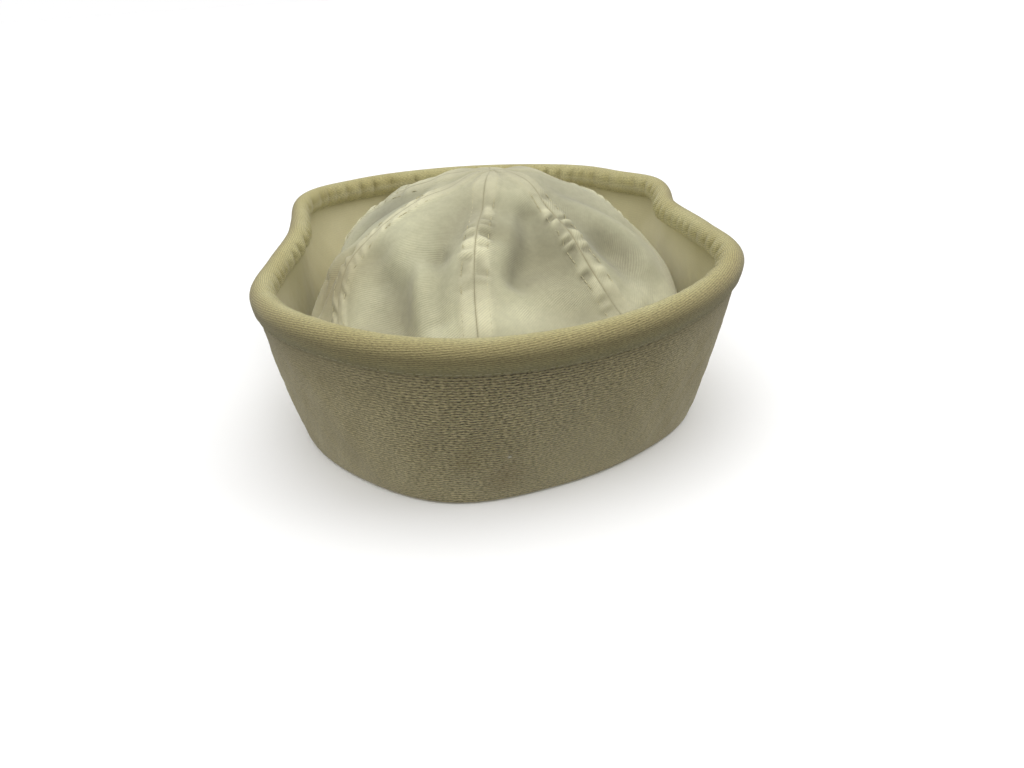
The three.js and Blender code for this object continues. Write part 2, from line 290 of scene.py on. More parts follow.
def mark(piece, name, values):
    """Keep a value at each point of the cloth, for its material to read."""
    attribute = piece.data.attributes.new(name, "FLOAT", "POINT")
    attribute.data.foreach_set("value", values.astype(np.float32))


def weld(piece):
    joined = bmesh.new()
    joined.from_mesh(piece.data)
    bmesh.ops.remove_doubles(joined, verts=joined.verts, dist=0.01 * MM)
    joined.to_mesh(piece.data)
    joined.free()


def thicken(piece, thickness, offset):
    wall = piece.modifiers.new("cloth_thickness", "SOLIDIFY")
    wall.thickness = thickness * MM
    wall.offset = offset
    print(piece.name, len(piece.data.polygons), "faces before its thickness")


# %% [markdown]
# The brim is several plies of cotton, quilted together by rows of stitches two millimetres apart.
# The stitching pulls the plies in a little unevenly, so the wall is never quite smooth. Waves that
# close on themselves round the brim give that, in whole counts so that the strip meets itself.

# %% The brim
BRIM_COLUMNS = 480
BRIM_JOIN = 90.0
TURN_IN_ROWS = np.linspace(0.0, 1.0, 6)[:-1]
FOLD_ROWS = np.linspace(1.0, 2.0, 9)[:-1]
WALL_ROWS = np.linspace(2.0, 3.0, 50)
BRIM_WAVES = [
    dict(round=31, up=1.5, phase=0.3, height=0.16),
    dict(round=47, up=-2.2, phase=2.1, height=0.13),
    dict(round=13, up=0.8, phase=4.0, height=0.22),
    dict(round=83, up=5.1, phase=1.2, height=0.07),
    dict(round=101, up=-6.3, phase=5.2, height=0.06),
]


def ring_bearings(columns):
    return BRIM_JOIN + np.linspace(0.0, FULL_TURN, columns + 1)


def brim_waves(bearing, share):
    relief = np.zeros_like(bearing)
    for wave in BRIM_WAVES:
        turn = np.radians(bearing) * wave["round"] + 2 * math.pi * wave["up"] * share + wave["phase"]
        relief += wave["height"] * np.sin(turn)
    return relief


def place_brim(bearing, way):
    section = BrimSections(bearing)
    turn_in = BRIM_PLIES + CROWN_SETBACK + CROWN_CLOTH + TURN_IN_MARGIN
    x = -turn_in + (section.heel[0] + turn_in) * np.clip(way, 0, 1)
    point = np.stack([x, np.full_like(x, BRIM_PLIES / 2)], axis=-1)
    turn = np.clip(way - 1, 0, 1) * (math.pi / 2 - section.start_angle)
    spoke = np.stack([np.sin(turn), -np.cos(turn)], axis=-1)
    point = np.where((way > 1)[..., None], section.heel + section.fold_radius * spoke, point)
    share = np.clip(way - 2, 0, 1)
    top = HEM_EDGE_COVER + FIT
    down = section.wall_length + share * (top - section.wall_length)
    settle = smooth_step(share, 0.0, 0.1) * (1 - smooth_step(share, 0.75, 0.85))
    wall = section.beside(down, settle * brim_waves(bearing, share))
    point = np.where((way > 2)[..., None], wall, point)
    return section.to_space(point)


brim, _, _ = lay_cloth("brim_cloth", ring_bearings(BRIM_COLUMNS),
                       np.concatenate([TURN_IN_ROWS, FOLD_ROWS, WALL_ROWS]), place_brim, ring=True)
weld(brim)
thicken(brim, BRIM_PLIES, 0.0)

# %% [markdown]
# The hem is a strip of twill rolled over the brim's edge and stitched down on both sides. The roll is
# full and round, and where the stitches pull it in there is a groove with a row of small puckers,
# stronger on the inside, where the strip has to go round a shorter way.

# %% The hem
HEM_COLUMNS = 720
HEM_PROFILE_OUTSIDE = [
    dict(down=7.0, out=1.5), dict(down=6.9, out=1.72), dict(down=6.5, out=1.86),
    dict(down=6.1, out=1.84), dict(down=5.6, out=2.1), dict(down=4.6, out=2.5),
    dict(down=3.4, out=2.8), dict(down=2.2, out=2.9), dict(down=1.0, out=2.92),
]
HEM_PROFILE_INSIDE = [
    dict(down=1.0, out=-7.05), dict(down=2.3, out=-6.9), dict(down=3.5, out=-6.4),
    dict(down=4.6, out=-5.4), dict(down=5.4, out=-4.0), dict(down=5.9, out=-2.5),
    dict(down=6.2, out=-2.1), dict(down=6.8, out=-2.3), dict(down=7.0, out=-1.6),
]
ROLL_ROWS = 16
HEM_PUCKER_COUNT = 81
HEM_PUCKER_HEIGHT = 3.2
HEM_PUCKER_DRIFT = [dict(round=5, phase=1.0, turn=0.9), dict(round=11, phase=2.2, turn=0.6),
                    dict(round=23, phase=0.4, turn=0.35)]


def hem_line():
    roll = np.linspace(0.0, math.pi, ROLL_ROWS + 1)
    points = [(p["down"], p["out"]) for p in HEM_PROFILE_OUTSIDE]
    middle = BRIM_PLIES / 2 + FIT + HEM_CLOTH - HEM_ROLL_RADIUS
    points += [(-HEM_ROLL_RADIUS * math.sin(t), middle + HEM_ROLL_RADIUS * math.cos(t)) for t in roll]
    points += [(p["down"], p["out"]) for p in HEM_PROFILE_INSIDE]
    return np.array(points)


def hem_puckers(bearing):
    """Rounded puffs with narrow creases between them, unevenly spaced and unevenly full."""
    angle = np.radians(bearing)
    drift = sum(d["turn"] * np.sin(d["round"] * angle + d["phase"]) for d in HEM_PUCKER_DRIFT)
    puff = np.abs(np.sin(HEM_PUCKER_COUNT * angle / 2 + drift)) ** 0.8
    fullness = 0.75 + 0.3 * np.sin(7 * angle + 0.6) + 0.2 * np.sin(19 * angle + 1.3)
    return HEM_PUCKER_HEIGHT * fullness * (puff - 0.6)


def place_hem(bearing, row):
    line = hem_line()[row.astype(int)]
    down, out = line[..., 0], line[..., 1]
    outside = smooth_step(down, 1.5, 4.5) * (1 - smooth_step(down, 6.0, 7.0))
    inside = smooth_step(down, -5.0, 2.0) * (1 - smooth_step(down, 5.4, 6.4))
    pull = np.where(out > 0, 0.1 * outside, -inside)
    section = BrimSections(bearing)
    return section.to_space(section.beside(down, out + pull * hem_puckers(bearing)))


hem, row, _ = lay_cloth("brim_hem_cloth", ring_bearings(HEM_COLUMNS),
                        np.arange(len(hem_line())), place_hem, ring=True)
roll_down, roll_out = hem_line().T
# Painted shade and wear: the outer face and the outer side of the roll are darkened, less low on the outer
# face.
mark(hem, "wear_and_painted_shade", (smooth_step(roll_out, -4.5, 1.8) * (1 - 0.6 * smooth_step(roll_down, 0.0, 4.5)))[row])
# Painted light: the lower inside of the hem, under the roll's overhang, is lightened.
mark(hem, "painted_light_under_roll", (smooth_step(roll_down, 0.0, 4.5) * (roll_out < 0))[row])
weld(hem)
thicken(hem, HEM_CLOTH / 2, -1.0)

# %% [markdown]
# The crown is a low dome of six panels. A rounded square in height and a softer one in reach give its
# full shoulders and flat top. The dents are where the empty cloth has sunk in, and a negative one is
# where it stands out.

# %% The crown's form
CROWN_SHOULDER = dict(outward=1.72, upward=3.0)
APEX_SHIFT = (0.06, 0.02)
DENT_SETTLE = 0.2
CROWN_DENTS = [
    dict(bearing=180, height=0.35, wide=38, tall=0.35, depth=0.85),
    dict(bearing=352, height=0.45, wide=38, tall=0.3, depth=-1.1),
    dict(bearing=273, height=0.78, wide=9, tall=0.16, depth=0.7),
    dict(bearing=226, height=0.68, wide=7, tall=0.2, depth=0.6),
    dict(bearing=241, height=0.82, wide=5, tall=0.12, depth=0.4),
    dict(bearing=306, height=0.7, wide=8, tall=0.14, depth=0.4),
    dict(bearing=197, height=0.5, wide=8, tall=0.2, depth=-0.5),
]
CROWN_SEAMS = [
    dict(seat=8, apex=16, sway=0),
    dict(seat=74, apex=80, sway=0),
    dict(seat=141, apex=148, sway=0),
    dict(seat=226, apex=196, sway=-15),
    dict(seat=258, apex=246, sway=0),
    dict(seat=296, apex=310, sway=-10),
]


def dent_depth(bearing, height):
    depth = 0.0
    for dent in CROWN_DENTS:
        turn = np.mod(bearing - dent["bearing"] + 1.5 * FULL_TURN, FULL_TURN) - FULL_TURN / 2
        rise = height - dent["height"]
        hollow = np.exp(-(turn / dent["wide"]) ** 2 - (rise / dent["tall"]) ** 2)
        depth += CROWN_DENT * dent["depth"] * hollow
    return depth * smooth_step(height, 0.0, DENT_SETTLE)


def crown_point(bearing, quarter):
    angle = quarter * math.pi / 2
    reach = np.maximum(np.cos(angle), 0.0) ** (2 / CROWN_SHOULDER["outward"])
    height = np.sin(angle) ** (2 / CROWN_SHOULDER["upward"])
    seat = fold_point(bearing) - fold_outward(bearing) * (BRIM_PLIES + CROWN_SETBACK)
    sink = dent_depth(bearing, height) / np.linalg.norm(seat, axis=-1)
    plan = seat * (reach * (1 - sink))[..., None]
    plan = plan + np.array(APEX_SHIFT) * CROWN_HEIGHT * (height ** 3)[..., None]
    up = CROWN_SEAT + (CROWN_HEIGHT - CROWN_SEAT) * height
    return np.concatenate([plan, up[..., None]], axis=-1)


def crown_outward(bearing, quarter):
    low, high = np.maximum(quarter - 0.004, 0.0), np.minimum(quarter + 0.004, 0.997)
    low = np.minimum(low, 0.99)
    middle = (low + high) / 2
    along = crown_point(bearing + 0.5, middle) - crown_point(bearing - 0.5, middle)
    outward = np.cross(along, crown_point(bearing, high) - crown_point(bearing, low))
    return outward / np.linalg.norm(outward, axis=-1, keepdims=True)


def quarter_at(height):
    return np.arcsin(np.asarray(height) ** (CROWN_SHOULDER["upward"] / 2)) / (math.pi / 2)


def seam_bearing(seam, quarter):
    sway = seam["sway"] * np.sin(math.pi * quarter) ** 2
    return seam["seat"] + (seam["apex"] - seam["seat"]) * quarter + sway


# %% [markdown]
# Thin cloth that nothing fills doesn't sink in round bowls but in long soft folds. Each row is one
# fold, from a start to an end, which are given as a bearing and a share of the crown's height. Its
# width and depth are in millimetres, and a negative depth is a ridge. Beyond these the cloth is never
# quite even, so a few long waves in seeded random directions run through all of it.

# %% Folds in the crown
CROWN_FOLDS = [
    dict(start=(281, 0.93), end=(267, 0.75), wide=6.5, depth=5.2),
    dict(start=(283, 0.90), end=(277, 0.79), wide=12.0, depth=4.4),
    dict(start=(285, 0.80), end=(287, 0.60), wide=12.0, depth=3.6),
    dict(start=(262, 0.95), end=(259, 0.88), wide=6.0, depth=2.4),
    dict(start=(258, 0.61), end=(275, 0.54), wide=11.0, depth=-4.2),
    dict(start=(208, 0.78), end=(216, 0.75), wide=8.0, depth=3.6),
    dict(start=(224, 0.70), end=(234, 0.52), wide=11.0, depth=5.6),
    dict(start=(229, 0.84), end=(240, 0.66), wide=6.0, depth=-1.2),
    dict(start=(240, 0.95), end=(232, 0.84), wide=9.0, depth=5.4),
    dict(start=(236, 0.83), end=(243, 0.65), wide=5.5, depth=3.4),
    dict(start=(305, 0.93), end=(311, 0.77), wide=11.0, depth=5.2),
    dict(start=(311, 0.77), end=(311, 0.65), wide=11.0, depth=5.2),
    dict(start=(192, 0.74), end=(197, 0.48), wide=3.0, depth=3.4),
    dict(start=(183, 0.64), end=(186, 0.40), wide=4.0, depth=3.2),
    dict(start=(314, 0.66), end=(297, 0.54), wide=6.0, depth=-2.2),
    dict(start=(188, 0.68), end=(193, 0.42), wide=11.0, depth=-4.2),
    dict(start=(318, 0.68), end=(314, 0.48), wide=10.0, depth=-2.4),
    dict(start=(199, 0.50), end=(196, 0.24), wide=2.6, depth=-2.0),
    dict(start=(190, 0.62), end=(203, 0.30), wide=2.4, depth=2.2),
    dict(start=(182, 0.66), end=(188, 0.40), wide=3.5, depth=-2.0),
    dict(start=(22, 0.90), end=(38, 0.60), wide=10.0, depth=4.6),
    dict(start=(52, 0.80), end=(46, 0.50), wide=8.0, depth=-2.4),
    dict(start=(64, 0.92), end=(60, 0.68), wide=6.5, depth=3.0),
    dict(start=(98, 0.88), end=(112, 0.60), wide=10.5, depth=4.8),
    dict(start=(126, 0.84), end=(124, 0.52), wide=6.5, depth=-2.4),
    dict(start=(162, 0.92), end=(170, 0.70), wide=8.0, depth=3.4),
    dict(start=(336, 0.92), end=(345, 0.66), wide=9.0, depth=3.4),
]
FOLD_STEPS = 9
CLOTH_WAVES = 14
WAVE_LENGTHS = (11.0, 38.0)
WAVE_HEIGHT = 0.10

chance = random.Random(1897)
cloth_waves = []
for _ in range(CLOTH_WAVES):
    heading = Vector((chance.gauss(0, 1), chance.gauss(0, 1), chance.gauss(0, 1))).normalized()
    length = chance.uniform(*WAVE_LENGTHS)
    cloth_waves.append((np.array(heading) * 2 * math.pi / length, chance.uniform(0, 2 * math.pi),
                        WAVE_HEIGHT * length / WAVE_LENGTHS[0]))


def fold_paths():
    paths = []
    for fold in CROWN_FOLDS:
        (start, low), (end, high) = fold["start"], fold["end"]
        bearings = np.linspace(start, end, FOLD_STEPS)
        paths.append(crown_point(bearings, quarter_at(np.linspace(low, high, FOLD_STEPS))))
    return paths


def distance_to_path(spots, path):
    nearest = np.full(spots.shape[:-1], np.inf)
    for start, end in zip(path[:-1], path[1:]):
        step = end - start
        share = np.clip(((spots - start) * step).sum(-1) / (step @ step), 0.0, 1.0)
        gap = np.linalg.norm(spots - start - share[..., None] * step, axis=-1)
        nearest = np.minimum(nearest, gap)
    return nearest


fold_lines = fold_paths()


def fold_relief(spots, quarter):
    relief = np.zeros(spots.shape[:-1])
    for fold, path in zip(CROWN_FOLDS, fold_lines):
        away = distance_to_path(spots, path) / fold["wide"]
        relief -= fold["depth"] * np.exp(-away ** 2)
    crumple = 0.35 + 0.9 * smooth_step(quarter, 0.6, 0.9)
    for turn, phase, height in cloth_waves:
        relief += height * crumple * np.sin(spots @ turn + phase)
    return relief * smooth_step(quarter, 0.02, 0.12) * (1 - smooth_step(quarter, 0.94, 1.0))


# %% [markdown]
# Each seam is pressed open and stitched down on both sides, so the panels are thicker in a band along
# their edges. The stitches draw the band in, and between them the cloth puffs up in small slanted
# puckers. The table says where they are strong: seam and side (1 is the panel that starts at the
# seam, -1 the one that ends there), the stretch in millimetres up the seam, their spacing and height.

# %% Seams and puckers
STITCH_LINE = 5.0
SEAM_PUCKERS = [
    dict(seam=3, side=1, start=20, end=130, spacing=8.0, height=0.9, slant=0.5),
    dict(seam=3, side=-1, start=20, end=130, spacing=8.5, height=0.9, slant=-0.5),
    dict(seam=4, side=1, start=84, end=130, spacing=8.4, height=2.5, slant=0.4),
    dict(seam=4, side=-1, start=84, end=122, spacing=9.0, height=2.2, slant=0.4),
    dict(seam=5, side=1, start=70, end=124, spacing=9.5, height=2.2, slant=0.3),
    dict(seam=5, side=-1, start=62, end=128, spacing=9.9, height=2.4, slant=0.3),
    dict(seam=0, side=1, start=25, end=110, spacing=8.4, height=1.4, slant=0.6),
    dict(seam=0, side=-1, start=45, end=110, spacing=8.8, height=1.4, slant=0.6),
    dict(seam=1, side=1, start=50, end=115, spacing=9.2, height=1.6, slant=0.6),
    dict(seam=1, side=-1, start=30, end=105, spacing=8.2, height=1.4, slant=0.6),
    dict(seam=2, side=1, start=60, end=115, spacing=8.8, height=1.6, slant=0.6),
    dict(seam=2, side=-1, start=40, end=110, spacing=9.0, height=1.4, slant=0.6),
]


def puckers(seam, side, reach, upward):
    relief = np.zeros_like(reach)
    for pucker in SEAM_PUCKERS:
        if pucker["seam"] != seam or pucker["side"] != side:
            continue
        strength = smooth_step(upward, pucker["start"] - 8, pucker["start"] + 8)
        strength = strength * (1 - smooth_step(upward, pucker["end"] - 8, pucker["end"] + 8))
        wander = 0.3 * np.sin(upward * 0.15 + 2 * seam) + 0.2 * np.sin(upward * 0.37 + 3 * seam + side)
        wave = (upward + pucker["slant"] * reach) / pucker["spacing"] + wander
        puff = np.sin(math.pi * wave) ** 2
        uneven = 0.8 + 0.45 * np.sin(upward * 0.31 + seam + 1.7 * side)
        window = smooth_step(reach, 0.0, 1.8) * (1 - smooth_step(reach, 3.4, 8.5))
        relief += pucker["height"] * strength * window * uneven * (puff - 0.5)
    return relief


def seam_relief(seam, side, aside, upward, shrink):
    """Height over the smooth crown at a distance aside from a seam and a distance up along it."""
    reach = aside / shrink
    relief = SEAM_RAISE * (1 - smooth_step(reach, SEAM_BAND - 1.4, SEAM_BAND + 1.8))
    relief = relief - 0.08 * np.exp(-(aside / 0.3) ** 2)
    relief = relief - 0.12 * np.exp(-((reach - STITCH_LINE) / 0.5) ** 2)
    return relief + puckers(seam, side, reach, upward) * shrink


# %% [markdown]
# A panel is measured along rows from the seat to the apex. A class keeps each row's two seams and
# width, so that a place on the panel can be given by its share of the width, and the rows of thread
# can be laid on the same surface later.

# %% One panel's surface
SEAM_COUNT = len(CROWN_SEAMS)
BAND_LIMIT = 0.36
# How deep a fold or a pucker hollow is before its painted shade is full, and how much of that painted shade
# the puckers get.
CREASE_DEPTH = 6.0
PUCKER_DEPTH = 0.9
PUCKER_PAINTED_SHADE = 0.75


def even_quarters(count, bearing=270.0):
    """Shares of the quarter turn that part the way up the crown into equal lengths."""
    fine = np.linspace(0.0, 1.0, 2001)
    spots = crown_point(np.full_like(fine, bearing), fine)
    gone = np.concatenate([[0.0], np.cumsum(np.linalg.norm(np.diff(spots, axis=0), axis=1))])
    return np.interp(np.linspace(0.0, gone[-1], count), gone, fine)


class CrownPanel:
    def __init__(self, number, quarters):
        self.number = number
        self.quarters = quarters[:, None]
        start, end = CROWN_SEAMS[number], CROWN_SEAMS[(number + 1) % SEAM_COUNT]
        lap = FULL_TURN if end["seat"] < start["seat"] else 0.0
        self.left = seam_bearing(start, self.quarters)
        self.right = seam_bearing(end, self.quarters) + lap
        bearing = self.left + (self.right - self.left) * np.linspace(0.0, 1.0, 25)
        line = crown_point(bearing, self.quarters + 0 * bearing)
        width = np.linalg.norm(np.diff(line, axis=1), axis=2).sum(axis=1)
        self.width = np.maximum(width, 0.01)[:, None]
        self.shrink = np.minimum(1.0, BAND_LIMIT * self.width / SEAM_BAND)
        climb = np.linalg.norm(np.diff(line, axis=0), axis=2).mean(axis=1)
        self.upward = np.concatenate([[0.0], np.cumsum(climb)])[:, None]

    def lay(self, share, above=0.0):
        bearing = self.left + share * (self.right - self.left)
        quarter = self.quarters + 0 * share
        upward = self.upward + 0 * share
        aside = (share * self.width, (1 - share) * self.width)
        relief = seam_relief(self.number, 1, aside[0], upward, self.shrink)
        relief = relief + seam_relief((self.number + 1) % SEAM_COUNT, -1, aside[1], upward, self.shrink)
        relief = relief * (1 - smooth_step(quarter, 0.97, 1.0))
        spots = crown_point(bearing, quarter)
        relief = relief + fold_relief(spots, quarter) + above
        return spots + crown_outward(bearing, quarter) * relief[..., None]

    def creases(self, share):
        """How far each place lies down in a fold or between two puckers, below 0 where it stands up. The
        crown's material paints it as shade in the hollows and as a highlight where the cloth stands up.
        """
        bearing = self.left + share * (self.right - self.left)
        quarter = self.quarters + 0 * share
        upward = self.upward + 0 * share
        reach = share * self.width / self.shrink, (1 - share) * self.width / self.shrink
        hollow = puckers(self.number, 1, reach[0], upward)
        hollow = hollow + puckers((self.number + 1) % SEAM_COUNT, -1, reach[1], upward)
        sunk = fold_relief(crown_point(bearing, quarter), quarter)
        return np.clip(-sunk / CREASE_DEPTH, -0.3, 1) + PUCKER_PAINTED_SHADE * np.clip(-hollow / PUCKER_DEPTH, -1, 1)


# %% The six panels
PANEL_ROWS = 150
EDGE_COLUMNS = [0.02, 0.06, 0.3, 0.9, 1.5, 2.2, 2.9, 3.6, 4.2, 4.7, 5.1, 5.5, 6.0, 6.5, 7.1, 7.9]
MIDDLE_COLUMNS = 62


def make_panel(number):
    panel = CrownPanel(number, even_quarters(PANEL_ROWS))
    near = np.array(EDGE_COLUMNS) * panel.shrink / panel.width
    inner = near[:, -1:] + (1 - 2 * near[:, -1:]) * np.linspace(0, 1, MIDDLE_COLUMNS + 2)[1:-1]
    share = np.concatenate([near, inner, 1 - near[:, ::-1]], axis=1)
    places = panel.lay(share)
    piece, row, column = lay_cloth(f"crown_panel_{number + 1}", np.arange(share.shape[1]),
                                   np.arange(PANEL_ROWS), lambda *grid: places)
    aside = np.minimum(share, 1 - share) * panel.width / panel.shrink
    bands = 1 - smooth_step(aside, SEAM_BAND - 2.0, SEAM_BAND + 2.2)
    joins = np.exp(-(aside / 0.28) ** 2)
    # Besides its seam bands, each panel keeps its painted shade and highlight, read from its folds and
    # puckers.
    for name, values in (("seam_plies", bands), ("seam_join", joins), ("painted_shade_and_highlight", panel.creases(share))):
        mark(piece, name, values[row, column])
    weld(piece)
    thicken(piece, CROWN_CLOTH, -1.0)
    return piece


panels = [make_panel(number) for number in range(SEAM_COUNT)]

# %% [markdown]
# Every row of stitching is thread that dips into the cloth and comes out again. A stitch is a short
# curve with its two ends sunk in, and one curve object holds a whole row. The stitches are shorter
# than the puckers between them by far, so they read as fine beads along the edge of each band.

# %% Rows of thread
THREAD_RADIUS = 0.16
STITCH_LENGTH = 2.1
STITCH_GAP = 0.7
STITCH_DIP = 0.16
STITCH_RISE = -0.08


def make_thread(name, stitches):
    """One curve object from an array of stitches, each three places in millimetres."""
    row = bpy.data.curves.new(name, "CURVE")
    row.dimensions = "3D"
    row.bevel_depth = THREAD_RADIUS * MM
    row.bevel_resolution = 1
    for places in (np.asarray(stitches) + HEAD_MIDDLE) * MM:
        stitch = row.splines.new("POLY")
        stitch.points.add(len(places) - 1)
        stitch.points.foreach_set("co", np.hstack([places, np.ones((len(places), 1))]).ravel())
    thread = bpy.data.objects.new(name, row)
    scene.collection.objects.link(thread)
    print(name, len(stitches), "stitches")
    return thread


def stitch_starts(length):
    count = int(length // (STITCH_LENGTH + STITCH_GAP))
    return (np.arange(count) + 0.5) * length / count


def seam_stitches(number, side):
    """The row of stitches beside a panel's seam: side 0 is where it starts and 1 where it ends."""
    fine = even_quarters(400)
    upward = CrownPanel(number, fine).upward[:, 0]
    starts = stitch_starts(upward[-1] - 14.0) + 4.0
    along = (starts[:, None] + np.array([-0.5, 0.0, 0.5]) * STITCH_LENGTH).ravel()
    panel = CrownPanel(number, np.interp(along, upward, fine))
    share = STITCH_LINE * panel.shrink / panel.width
    above = np.tile([-STITCH_DIP, STITCH_RISE, -STITCH_DIP], len(starts))[:, None]
    return panel.lay(share if side == 0 else 1 - share, above).reshape(-1, 3, 3)


def hem_stitches(down, out, away):
    """A row of stitches round the hem, at a distance down from the roll and out from the wall."""
    turns = stitch_starts(2 * math.pi * HEAD_RADIUS * 1.13)
    bearing = (turns[:, None] + np.array([-0.5, 0.0, 0.5]) * STITCH_LENGTH) * FULL_TURN
    bearing = bearing / (2 * math.pi * HEAD_RADIUS * 1.13)
    lift = np.array([-STITCH_DIP, STITCH_RISE, -STITCH_DIP]) * away
    section = BrimSections(bearing)
    return section.to_space(section.beside(np.full_like(bearing, down), out + lift + 0 * bearing))


seam_thread = [
    make_thread(f"panel_{number + 1}_topstitching",
                np.concatenate([seam_stitches(number, 0), seam_stitches(number, 1)]))
    for number in range(SEAM_COUNT)
]
hem_thread_outside = make_thread("hem_stitching_outside", hem_stitches(6.1, 2.05, 1.0))
hem_thread_inside = make_thread("hem_stitching_inside", hem_stitches(5.8, -2.05, -1.0))

# %% [markdown]
# Cloth colours are sRGB hex values, as a paint chart gives them, and one function turns them linear.
# One more adds a node with its settings, its fixed values and its links.

# %% Helpers for materials
def linear(colour):
    channels = [(colour >> shift & 255) / 255 for shift in (16, 8, 0)]
    return [c / 12.92 if c <= 0.04045 else ((c + 0.055) / 1.055) ** 2.4 for c in channels] + [1.0]


def node(material, kind, values=None, links=None, **settings):
    tree = material.node_tree
    made = tree.nodes.new("ShaderNode" + kind)
    for name, value in settings.items():
        setattr(made, name, value)
    for socket, value in (values or {}).items():
        made.inputs[socket].default_value = value
    for socket, source in (links or {}).items():
        tree.links.new(source, made.inputs[socket])
    return made


def new_material(name):
    material = bpy.data.materials.new(name)
    material.use_nodes = True
    material.node_tree.nodes.clear()
    return material


def mix(material, low, high, share, blend="MIX"):
    """Mix two colours, each a colour value or a socket, by a share that is a number or a socket."""
    values, links = {}, {}
    for socket, source in ((0, share), (6, low), (7, high)):
        (values if isinstance(source, (int, float, list)) else links)[socket] = source
    return node(material, "Mix", values, links, data_type="RGBA", blend_type=blend).outputs[2]


def remap(material, value, low, high, to_low=0.0, to_high=1.0):
    return node(material, "MapRange", {"From Min": low, "From Max": high, "To Min": to_low,
                                       "To Max": to_high}, {"Value": value}).outputs[0]


def multiply_add(material, value, factor, base=0.0):
    values, links = {1: factor}, {0: value}
    (links if hasattr(base, "is_linked") else values)[2] = base
    if hasattr(factor, "is_linked"):
        values.pop(1)
        links[1] = factor
    return node(material, "Math", values, links, operation="MULTIPLY_ADD").outputs[0]


# %% [markdown]
# Twill is a weave whose threads step over by one in each row, which leaves fine slanted ridges. They
# are well under a millimetre apart, and are drawn at 0.8 mm so that they can just be seen. Old cotton
# is never one colour: slow blotches of a yellower tone run through it, and small stains and specks of
# lint sit where they fell. Soft darker spots over the crown's folds are painted shade, and a few
# lighter ones on the brim are painted light.

# %% Parts of a cloth material
def twill(material, cut, pitch, angle):
    turned = node(material, "Mapping", {"Rotation": (0, 0, math.radians(angle))},
                  {"Vector": cut}).outputs[0]
    return node(material, "TexWave", {"Scale": 0.314159 / (pitch * MM), "Distortion": 0.8, "Detail": 2.0,
                                      "Detail Scale": 1.5}, {"Vector": turned},
                wave_type="BANDS", bands_direction="X").outputs["Fac"]


def noise(material, vector, scale, detail=3.0, roughness=0.55):
    return node(material, "TexNoise", {"Scale": scale, "Detail": detail, "Roughness": roughness},
                {"Vector": vector}).outputs["Fac"]


def stretch(material, cut, length, row):
    """The cloth's own coordinates, scaled so that a noise of scale 1 makes marks of this size in mm."""
    return node(material, "Mapping", {"Scale": (2 / (length * MM), 2 / (row * MM), 1.0)},
                {"Vector": cut}).outputs[0]


def distance_from(material, body, place, flatten=1.0):
    shift = [-(p + m) * MM for p, m in zip(place, HEAD_MIDDLE)]
    near = node(material, "Mapping", {"Location": shift}, {"Vector": body}).outputs[0]
    flat = node(material, "VectorMath", {1: (1.0, flatten, 1.0)}, {0: near}, operation="MULTIPLY").outputs[0]
    return node(material, "VectorMath", {}, {0: flat}, operation="LENGTH").outputs["Value"]


def spot(material, tint, body, place, size, colour, strength, flatten=0.15, soft=0.35):
    """A soft round spot of colour at a place in millimetres from the head's middle: a stained patch, a speck
    of lint, a patch of painted shade or a patch of painted light.
    """
    far = distance_from(material, body, place, flatten)
    share = remap(material, far, size * MM * soft, size * MM, strength, 0.0)
    return mix(material, tint, linear(colour), share)


def finish_cloth(material, tint, height, relief):
    bump = node(material, "Bump", {"Strength": 1.0, "Distance": relief * MM}, {"Height": height}).outputs[0]
    shader = node(material, "BsdfPrincipled", {"Roughness": 0.9, "Sheen Weight": 0.2,
                                               "Sheen Roughness": 0.5, "Specular IOR Level": 0.25},
                  {"Base Color": tint, "Normal": bump})
    node(material, "OutputMaterial", links={"Surface": shader.outputs[0]})
    return material


# %% The crown's white twill
# Patches of painted shade: darker spots laid over the crown's folds, its top and its limbs, where they fall
# in shadow.
CROWN_PAINTED_SHADE = [
    dict(bearing=196, height=0.64, size=30.0, colour=0x9C9270, strength=0.85, soft=0.2, flatten=1.0),
    dict(bearing=270, height=1.00, size=38.0, colour=0xADA88C, strength=0.6, soft=0.3, flatten=1.0),
    dict(bearing=240, height=0.93, size=22.0, colour=0xA8A388, strength=0.5, soft=0.1, flatten=1.0),
    dict(bearing=278, height=0.82, size=26.0, colour=0x8F8A6E, strength=0.75, soft=0.1, flatten=1.0),
    dict(bearing=258, height=0.90, size=12.0, colour=0x8F8A6C, strength=0.6, soft=0.1, flatten=1.0),
    dict(bearing=279, height=0.65, size=22.0, colour=0xA29D80, strength=0.7, soft=0.1, flatten=1.0),
    dict(bearing=229, height=0.63, size=20.0, colour=0x9A957A, strength=0.6, soft=0.1, flatten=1.0),
    dict(bearing=164, height=0.85, size=24.0, colour=0x96947F, strength=0.8, soft=0.2, flatten=1.0),
    dict(bearing=340, height=0.90, size=26.0, colour=0xA9A68E, strength=0.5, soft=0.2, flatten=1.0),
    dict(bearing=313, height=0.73, size=25.0, colour=0x87826A, strength=0.65, soft=0.1, flatten=1.0),
    dict(bearing=253, height=0.76, size=19.0, colour=0xA39E82, strength=0.65, soft=0.1, flatten=1.0),
    dict(bearing=294, height=0.60, size=17.0, colour=0xA39E82, strength=0.55, soft=0.1, flatten=1.0),
    dict(bearing=100, height=0.70, size=25.0, colour=0xA8A388, strength=0.5, soft=0.1, flatten=1.0),
    dict(bearing=30, height=0.55, size=22.0, colour=0xA8A388, strength=0.45, soft=0.1, flatten=1.0),
]
CROWN_SPECKS = [
    dict(place=(-28.7, -81.4, 67.6), size=0.55, colour=0x2E2A20, strength=0.95),
    dict(place=(-14.6, -88.8, 60.9), size=0.45, colour=0x2E2A20, strength=0.9),
    dict(place=(-13.4, -88.4, 61.5), size=0.4, colour=0x2E2A20, strength=0.8),
]


